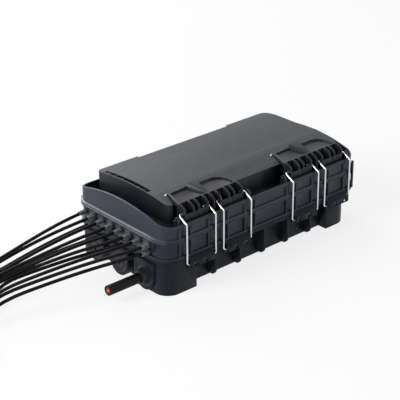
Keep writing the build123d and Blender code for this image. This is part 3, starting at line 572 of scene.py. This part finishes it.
# shader maths as plain expressions
class Wire:
    def __init__(self, tree, socket):
        self.tree = tree
        self.socket = socket

    def maths(self, operation, *others):
        return self.tree.node("ShaderNodeMath", {"operation": operation}, self, *others)["Value"]

    def __add__(self, other):
        return self.maths("ADD", other)

    def __sub__(self, other):
        return self.maths("SUBTRACT", other)

    def __rsub__(self, other):
        return self.tree.node("ShaderNodeMath", {"operation": "SUBTRACT"}, other, self)["Value"]

    def __mul__(self, other):
        return self.maths("MULTIPLY", other)

    __rmul__ = __mul__

    def __gt__(self, other):
        return self.maths("GREATER_THAN", other)

    def __lt__(self, other):
        return self.maths("LESS_THAN", other)


# the nodes of one material or world
class Tree:
    def __init__(self, owner):
        owner.use_nodes = True
        self.tree = owner.node_tree

    def feed(self, socket, value):
        if isinstance(value, Wire):
            self.tree.links.new(value.socket, socket)
        elif socket.type == "RGBA":
            socket.default_value = (*value, 1)
        else:
            socket.default_value = value

    def node(self, kind, settings, *inputs, **named):
        made = self.tree.nodes.new(kind)
        for key, value in settings.items():
            setattr(made, key, value)
        pairs = list(zip(made.inputs, inputs))
        pairs += [(made.inputs[key.replace("_", " ")], value) for key, value in named.items()]
        for socket, value in pairs:
            if value is not None:
                self.feed(socket, value)
        return {output.name: Wire(self, output) for output in made.outputs if output.enabled}

    def seenShare(self, share=None):
        # 1, or the share, for rays that show a thing: straight, mirrored or through glass
        path = self.node("ShaderNodeLightPath", {})
        seen = path["Is Camera Ray"].maths("MAXIMUM", path["Is Glossy Ray"])
        seen = seen.maths("MAXIMUM", path["Is Transmission Ray"])
        return seen if share is None else seen * share

    def finishWith(self, output, factor, first, second):
        mixed = self.node("ShaderNodeMixShader", {}, factor, first, second)["Shader"]
        self.feed(self.tree.nodes[output].inputs["Surface"], mixed)


class Paint(Tree):
    def __init__(self, name):
        self.material = bpy.data.materials.new(name)
        super().__init__(self.material)
        self.shader = next(n for n in self.tree.nodes if n.type == "BSDF_PRINCIPLED")
        coordinates = self.node("ShaderNodeTexCoord", {})
        self.place = coordinates["Object"]
        self.facingUp = self.split(coordinates["Normal"])[2]
        self.x, self.y, self.z = self.split(self.place)

    def split(self, wire):
        parts = self.node("ShaderNodeSeparateXYZ", {}, wire)
        return parts["X"], parts["Y"], parts["Z"]

    def noise(self, scale, detail=3.0, roughness=0.55):
        settings = {"Scale": scale, "Detail": detail, "Roughness": roughness}
        return self.node("ShaderNodeTexNoise", {}, Vector=self.place, **settings)["Fac"]

    def mix(self, factor, first, second):
        # the two colours of a Mix node are its inputs 6 and 7
        values = (factor, *[None] * 5, first, second)
        return self.node("ShaderNodeMix", {"data_type": "RGBA"}, *values)["Result"]

    def range(self, wire, low, high, newLow=0.0, newHigh=1.0):
        return self.node("ShaderNodeMapRange", {}, wire, low, high, newLow, newHigh)["Result"]

    def blend(self, wire, first, second, low=0.3, high=0.7):
        return self.mix(self.range(wire, low, high), finishes[first], finishes[second])

    def lips(self, low, high):
        # 1 on the rounds of the outer edges, as markOuterRounds left them, uneven in strength: the
        # mask of the painted edge highlights
        edge = self.node("ShaderNodeAttribute", {"attribute_name": "edgeShare"})["Fac"]
        return edge * self.range(self.noise(45.0, 3.0), 0.3, 0.7, low, high)

    def seamLine(self, low, high):
        # a painted highlight line along the round of a seam lip at the port end, paler to the rear
        inLine = (self.x < seamHighlightSizes["lineX"]) * (self.z > low) * (self.z < high)
        return inLine * self.range(self.y, *seamHighlightSizes["fade"], *seamHighlightSizes["fadeShares"])

    def rubbed(self, lips, seam):
        return lips.maths("MAXIMUM", seamHighlightSizes["lineShare"] * self.seamLine(*seam))

    def lipTone(self):
        # the painted edge highlights are brighter at the port end, which the key lamp lights
        return self.mix(self.x < seamHighlightSizes["brightX"], finishes["lipHighlightPale"], finishes["lipHighlightBright"])

    def bump(self, height, strength, distance):
        settings = {"Strength": strength, "Distance": distance, "Height": height}
        return self.node("ShaderNodeBump", {}, **settings)["Normal"]

    def set(self, **values):
        for key, value in values.items():
            self.feed(self.shader.inputs[key.replace("_", " ")], value)


finishes = {
    "shellDark": (0.0118, 0.0155, 0.0270),
    "shellBlue": (0.0195, 0.0245, 0.0405),
    # painted shade for the channel inside the cover's skirt
    "channel": (0.0040, 0.0050, 0.0082),
    # painted shade: the middle frame and the base are toned darker than the cover's skirt, lower
    # down under the flanges where shade falls
    "frameDark": (0.0075, 0.0100, 0.0175),
    "frameBlue": (0.0125, 0.0162, 0.0270),
    "baseDark": (0.0055, 0.0072, 0.0125),
    "baseBlue": (0.0095, 0.0120, 0.0200),
    # painted highlight colours for the edge rounds: pale everywhere, brighter at the port end
    "lipHighlightPale": (0.1100, 0.1200, 0.1450),
    "lipHighlightBright": (0.2600, 0.2750, 0.3050),
    "deckDark": (0.0230, 0.0243, 0.0275),
    "deckPale": (0.0500, 0.0520, 0.0570),
    "leverDark": (0.0060, 0.0068, 0.0088),
    "leverPale": (0.0125, 0.0138, 0.0172),
    "glandDark": (0.0060, 0.0065, 0.0085),
    "glandPale": (0.0120, 0.0130, 0.0160),
    "collarDark": (0.0300, 0.0320, 0.0380),
    "collarPale": (0.0480, 0.0510, 0.0600),
    "sleeveDark": (0.1050, 0.1100, 0.1240),
    "sleevePale": (0.1600, 0.1660, 0.1820),
    "jacket": (0.0022, 0.0022, 0.0026),
    "dropScuff": (0.0050, 0.0050, 0.0060),
    "feederScuff": (0.0055, 0.0055, 0.0068),
    "coreDark": (0.05, 0.045, 0.04),
    "corePale": (0.13, 0.11, 0.06),
    "orange": (0.85, 0.19, 0.02),
    "rubberDark": (0.0070, 0.0075, 0.0090),
    "rubberPale": (0.0150, 0.0160, 0.0190),
    "steelDull": (0.62, 0.63, 0.66),
    "steel": (0.70, 0.71, 0.73),
    "trayDull": (0.52, 0.53, 0.53),
    "tray": (0.60, 0.61, 0.60),
}
# where the painted highlight lines on the lips of the two seams go, in the frame of the part
seamHighlightSizes = {
    "lineX": -0.2008,
    "brightX": -0.2005,
    "fade": (-0.09, -0.06),
    "fadeShares": (0.2, 1.0),
    "lineShare": 0.7,
    "coverSeam": (0.0889, 0.0904),
    "frameSeam": (0.0854, 0.0867),
}
deckSizes = {
    "foot": (0.1175, 0.1190),
    "left": -0.1735,
    "right": 0.1845,
    "front": -0.0735,
    "facing": (0.45, 0.75),
    "channelX": 0.1964,
    "channelFront": -0.0990,
    "channelZ": 0.0930,
}
cutSizes = {
    "depth": 0.0022,
    "core": 0.0055,
    "tubeY": -0.0014,
    "tubeZ": 0.0006,
    "tube": 0.0026,
}


def shellPaint(name, tones, grain, rough, shine=0.32, seam=None, highlightRange=(0.35, 0.75)):
    paint = Paint(name)
    lips = paint.lips(*highlightRange)
    if seam:
        lips = paint.rubbed(lips, seam)
    cloud = paint.noise(9.0, 4.0)
    grainNoise = paint.noise(1400.0, 2.0)
    flow = paint.noise(60.0, 3.0)
    colour = paint.blend(cloud, *tones)
    paint.set(
        # the outer rounds take the painted highlight colour
        Base_Color=paint.mix(lips, colour, paint.lipTone()),
        Roughness=paint.range(flow, 0.3, 0.7, rough - 0.05, rough + 0.07) - 0.1 * lips,
        Normal=paint.bump(grainNoise, grain, 0.0002),
        Specular_IOR_Level=shine,
    )
    return paint.material


def coverPaint(sizes):
    paint = Paint("coverPlastic")
    x, y, z = paint.x, paint.y, paint.z
    # the deck is grainy, the skirt and channel are smooth
    inDeck = paint.range(z, *sizes["foot"])
    inDeck = inDeck * (x > sizes["left"]) * (x < sizes["right"]) * (y > sizes["front"])
    inDeck = inDeck * paint.range(paint.facingUp, *sizes["facing"])
    coarse = 0.45 * paint.noise(620.0, 5.0, 0.65) + 0.55 * paint.noise(230.0, 3.0, 0.6)
    cloud = paint.noise(14.0, 4.0)
    skirt = paint.blend(cloud, "shellDark", "shellBlue")
    # painted shade: the channel inside the skirt is darkened to near black, for the shade that
    # falls in it
    inChannelShade = (x > -sizes["channelX"]) * (x < sizes["channelX"])
    inChannelShade = inChannelShade * (y > sizes["channelFront"]) * (z > sizes["channelZ"])
    skirt = paint.mix(inChannelShade, skirt, finishes["channel"])
    deck = paint.blend(coarse, "deckDark", "deckPale", 0.41, 0.59)
    roughDeck = paint.range(coarse, 0.3, 0.7, 0.52, 0.68)
    roughSkirt = paint.range(cloud, 0.3, 0.7, 0.33, 0.42)
    # the cover's outer rounds and its seam lip get painted highlights
    lips = paint.rubbed(paint.lips(0.35, 0.75), seamHighlightSizes["coverSeam"])
    paint.set(
        Base_Color=paint.mix(lips, paint.mix(inDeck, skirt, deck), paint.lipTone()),
        Roughness=inDeck * roughDeck + (1 - inDeck) * roughSkirt,
        Normal=paint.bump(coarse * (inDeck * 0.92 + 0.08), 0.5, 0.0006),
        Specular_IOR_Level=0.32,
    )
    return paint.material


def steelPaint(name, rough):
    paint = Paint(name)
    drawn = paint.noise(900.0, 2.0)
    paint.set(
        Base_Color=paint.blend(paint.noise(30.0), "steelDull", "steel"),
        Metallic=1.0,
        Roughness=paint.range(drawn, 0.3, 0.7, rough, rough + 0.12),
        Normal=paint.bump(drawn, 0.15, 0.0001),
    )
    return paint.material


def jacketPaint(name, rough):
    paint = Paint(name)
    scuff = paint.noise(22.0, 4.0)
    paint.set(
        Base_Color=paint.blend(scuff, "jacket", "dropScuff", 0.35, 0.75),
        Roughness=paint.range(scuff, 0.3, 0.7, rough - 0.06, rough + 0.08),
        Normal=paint.bump(paint.noise(260.0, 3.0), 0.2, 0.0002),
        Specular_IOR_Level=0.10,
    )
    return paint.material


def feederPaint(sizes, cut):
    paint = Paint("feederJacket")
    scuff = paint.noise(40.0, 4.0)
    across = paint.y - sizes["y"]
    up = paint.z - sizes["z"]
    atCut = paint.x < sizes["cutX"] + cut["depth"]
    inCore = atCut * (across * across + up * up < cut["core"] ** 2)
    # the loose tube with the orange jacket
    besideTube = across - cut["tubeY"]
    aboveTube = up - cut["tubeZ"]
    inTube = atCut * (besideTube * besideTube + aboveTube * aboveTube < cut["tube"] ** 2)
    body = paint.blend(scuff, "jacket", "feederScuff", 0.35, 0.7)
    core = paint.mix(paint.noise(900.0), finishes["coreDark"], finishes["corePale"])
    paint.set(
        Base_Color=paint.mix(inTube, paint.mix(inCore, body, core), finishes["orange"]),
        Roughness=paint.range(scuff, 0.3, 0.7, 0.36, 0.5),
        Normal=paint.bump(paint.noise(300.0), 0.2, 0.0002),
        Specular_IOR_Level=0.16,
    )
    return paint.material


def plainPaint(name, tones, cloudScale, rough, grainScale, grain, detail=4.0):
    paint = Paint(name)
    cloud = paint.noise(cloudScale, detail)
    paint.set(
        Base_Color=paint.blend(cloud, *tones),
        Roughness=paint.range(cloud, 0.3, 0.7, *rough),
        Normal=paint.bump(paint.noise(grainScale), grain, 0.0002),
    )
    return paint.material


# the base's and frame's darker tones are painted shade
baseTones = ("baseDark", "baseBlue")
frameTones = ("frameDark", "frameBlue")
leverTones = ("leverDark", "leverPale")
glandTones = ("glandDark", "glandPale")
collarTones = ("collarDark", "collarPale")
sleeveTones = ("sleeveDark", "sleevePale")
basePlastic = shellPaint("basePlastic", baseTones, 0.18, 0.40, 0.12)
framePlastic = shellPaint("framePlastic", frameTones, 0.18, 0.36, 0.24, seamHighlightSizes["frameSeam"])
# the lever's edges take a stronger painted highlight
leverPlastic = shellPaint("leverPlastic", leverTones, 0.35, 0.38, 0.28, highlightRange=(0.65, 1.0))
glandPlastic = shellPaint("glandPlastic", glandTones, 0.2, 0.45)
collarRubber = shellPaint("collarRubber", collarTones, 0.2, 0.50)
sleeveRubber = shellPaint("sleeveRubber", sleeveTones, 0.2, 0.45)
coverPlastic = coverPaint(deckSizes)
bailSteel = steelPaint("bailSteel", 0.20)
pinSteel = steelPaint("pinSteel", 0.28)
dropJacket = jacketPaint("dropJacket", 0.40)
feederJacket = feederPaint(feederSizes, cutSizes)
sealRubber = plainPaint("sealRubber", ("rubberDark", "rubberPale"), 35.0, (0.55, 0.7), 700.0, 0.3)
trayPlastic = plainPaint("trayPlastic", ("trayDull", "tray"), 12.0, (0.4, 0.5), 900.0, 0.15, 3.0)
print("stage: finishes mixed")

bodyOfNode = {
    node: body
    for body, nodes in frame["record"]["behaviour"]["bodies"].items()
    for node in nodes
}
slotOfNode = {part["node"]: part["material_slot"] for part in frame["record"]["subparts"]}
slotFinish = {
    "base_plastic": basePlastic,
    "cover_plastic": coverPlastic,
    "lever_plastic": leverPlastic,
    "seal_rubber": sealRubber,
    "gland_plastic": glandPlastic,
    "bail_steel": bailSteel,
    "pin_steel": pinSteel,
    "feeder_jacket": feederJacket,
    "drop_jacket": dropJacket,
    "tray_plastic": trayPlastic,
}
# two nodes differ in tone from the rest of their slot; the middle frame's darker tone is painted
# shade
nodeFinish = {"drop_seal_block": collarRubber, "middle_frame": framePlastic}


def dress(piece, material):
    piece.data.materials.clear()
    piece.data.materials.append(material)


def finishOf(node):
    return nodeFinish.get(node, slotFinish[slotOfNode[node]])


for node in slotOfNode:
    dress(frame["nodes"][node], finishOf(node))
for cable, *_ in dropCables:
    dress(cable, dropJacket)
for tie in coilTies:
    dress(tie, glandPlastic)
for sleeve in sealSleeves:
    dress(sleeve, sleeveRubber)
for eye in sealEyes:
    dress(eye, pinSteel)
dress(feederCable, feederJacket)

# moulded shells get the small rounds of their tools, on copies of the CAD meshes
roundSizes = {
    "widths": {
        "base_shell": 0.0005,
        "middle_frame": 0.0005,
        "cover_shell": 0.0005,
        "left_latch_lever": 0.00045,
        "right_latch_lever": 0.00045,
    },
    "flattened": ("base_shell", "middle_frame", "cover_shell"),
    "merge": 0.00001,
    "flatAngle": 0.6,
    "edgeAngle": 32,
    "smoothAngle": 30,
    "outerFall": -0.05,
}


def markOuterRounds(mesh, outerFall):
    faces = mesh.polygons
    beside = {}
    for face in faces:
        for loop in face.loop_indices:
            beside.setdefault(mesh.loops[loop].edge_index, []).append(face.index)
    values = [0.0] * len(mesh.loops)
    for face in faces:
        if face.material_index != 1:
            continue
        fall = 0.0
        for loop in face.loop_indices:
            for other in beside[mesh.loops[loop].edge_index]:
                if other != face.index:
                    toOther = (faces[other].center - face.center).normalized()
                    fall += toOther.dot(face.normal)
        if fall < outerFall:
            for loop in face.loop_indices:
                values[loop] = 1.0
    # edgeShare marks the outer rounds, where the painted edge highlight goes
    share = mesh.attributes.new("edgeShare", "FLOAT", "CORNER")
    share.data.foreach_set("value", values)
    for face in mesh.polygons:
        face.material_index = 0


def roundedCopy(node, sizes):
    mesh = frame["nodes"][node].data.copy()
    piece = bpy.data.objects.new(node + "Rounded", mesh)
    bpy.context.scene.collection.objects.link(piece)
    deselectAll()
    piece.select_set(True)
    bpy.context.view_layer.objects.active = piece
    bpy.ops.object.mode_set(mode="EDIT")
    bpy.ops.mesh.select_all(action="SELECT")
    bpy.ops.mesh.remove_doubles(threshold=sizes["merge"])
    if node in sizes["flattened"]:
        bpy.ops.mesh.dissolve_limited(angle_limit=math.radians(sizes["flatAngle"]))
    bpy.ops.object.mode_set(mode="OBJECT")
    bevel = piece.modifiers.new("toolRounds", "BEVEL")
    bevel.width = sizes["widths"][node]
    bevel.segments = 2
    bevel.limit_method = "ANGLE"
    bevel.angle_limit = math.radians(sizes["edgeAngle"])
    # the faces that the bevel makes are told from the rest by their slot
    mesh.materials.clear()
    for _ in range(2):
        mesh.materials.append(basePlastic)
    bevel.material = 1
    bpy.ops.object.modifier_apply(modifier=bevel.name)
    markOuterRounds(piece.data, sizes["outerFall"])
    bpy.ops.object.shade_smooth_by_angle(angle=math.radians(sizes["smoothAngle"]))
    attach(piece, bodyOfNode[node])
    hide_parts(node)
    dress(piece, finishOf(node))
    return piece


for node in roundSizes["widths"]:
    made = roundedCopy(node, roundSizes)
    print(f"  rounded {node}: {len(made.data.polygons)} faces")
print("stage: shells rounded")

# floor, backdrop and lights
studioSizes = {
    "floor": 12.0,
    "floorZ": -0.0005,
    "floorTone": (0.75, 0.75, 0.75),
    "floorRough": 0.9,
    "white": (1, 1, 1),
    "whiteShare": 0.80,
    "worldTone": (0.92, 0.95, 1.0),
    "worldStrength": 0.35,
}
lampSizes = {
    "keyLamp": {"place": (-2.4, 0.5, 1.5), "targetZ": 0.05, "power": 85.0, "size": 1.4},
    "fillLamp": {"place": (1.4, -1.8, 1.2), "targetZ": 0.05, "power": 10.0, "size": 1.8},
    "rimLamp": {"place": (0.4, 2.2, 1.8), "targetZ": 0.1, "power": 42.0, "size": 1.6},
}


def addFloor(sizes):
    deselectAll()
    bpy.ops.mesh.primitive_plane_add(size=sizes["floor"], location=(0, 0, sizes["floorZ"]))
    floor = bpy.context.object
    floor.name = "studioFloor"
    bakePlace(floor)
    paint = Paint("studioFloor")
    paint.set(Base_Color=sizes["floorTone"], Roughness=sizes["floorRough"])
    white = paint.node("ShaderNodeEmission", {}, Color=sizes["white"], Strength=1.0)["Emission"]
    seen = paint.seenShare(sizes["whiteShare"])
    paint.finishWith("Material Output", seen, Wire(paint, paint.shader.outputs["BSDF"]), white)
    dress(floor, paint.material)


def addLamp(name, sizes):
    data = bpy.data.lights.new(name, "AREA")
    data.energy = sizes["power"]
    data.size = sizes["size"]
    lamp = bpy.data.objects.new(name, data)
    bpy.context.scene.collection.objects.link(lamp)
    look = Vector((0, 0, sizes["targetZ"])) - Vector(sizes["place"])
    turn = look.to_track_quat("-Z", "Y").to_matrix().to_4x4()
    lamp.matrix_world = Matrix.Translation(sizes["place"]) @ turn


def addWorld(sizes):
    world = bpy.data.worlds.new("studioWorld")
    bpy.context.scene.world = world
    tree = Tree(world)
    back = tree.tree.nodes["Background"]
    tree.feed(back.inputs["Color"], sizes["worldTone"])
    tree.feed(back.inputs["Strength"], sizes["worldStrength"])
    white = tree.node("ShaderNodeBackground", {}, Color=sizes["white"], Strength=1.0)["Background"]
    dim = Wire(tree, back.outputs["Background"])
    tree.finishWith("World Output", tree.seenShare(), dim, white)


addFloor(studioSizes)
for name, sizes in lampSizes.items():
    addLamp(name, sizes)
addWorld(studioSizes)
bpy.context.scene.view_settings.view_transform = "Standard"
print("stage: studio lit")
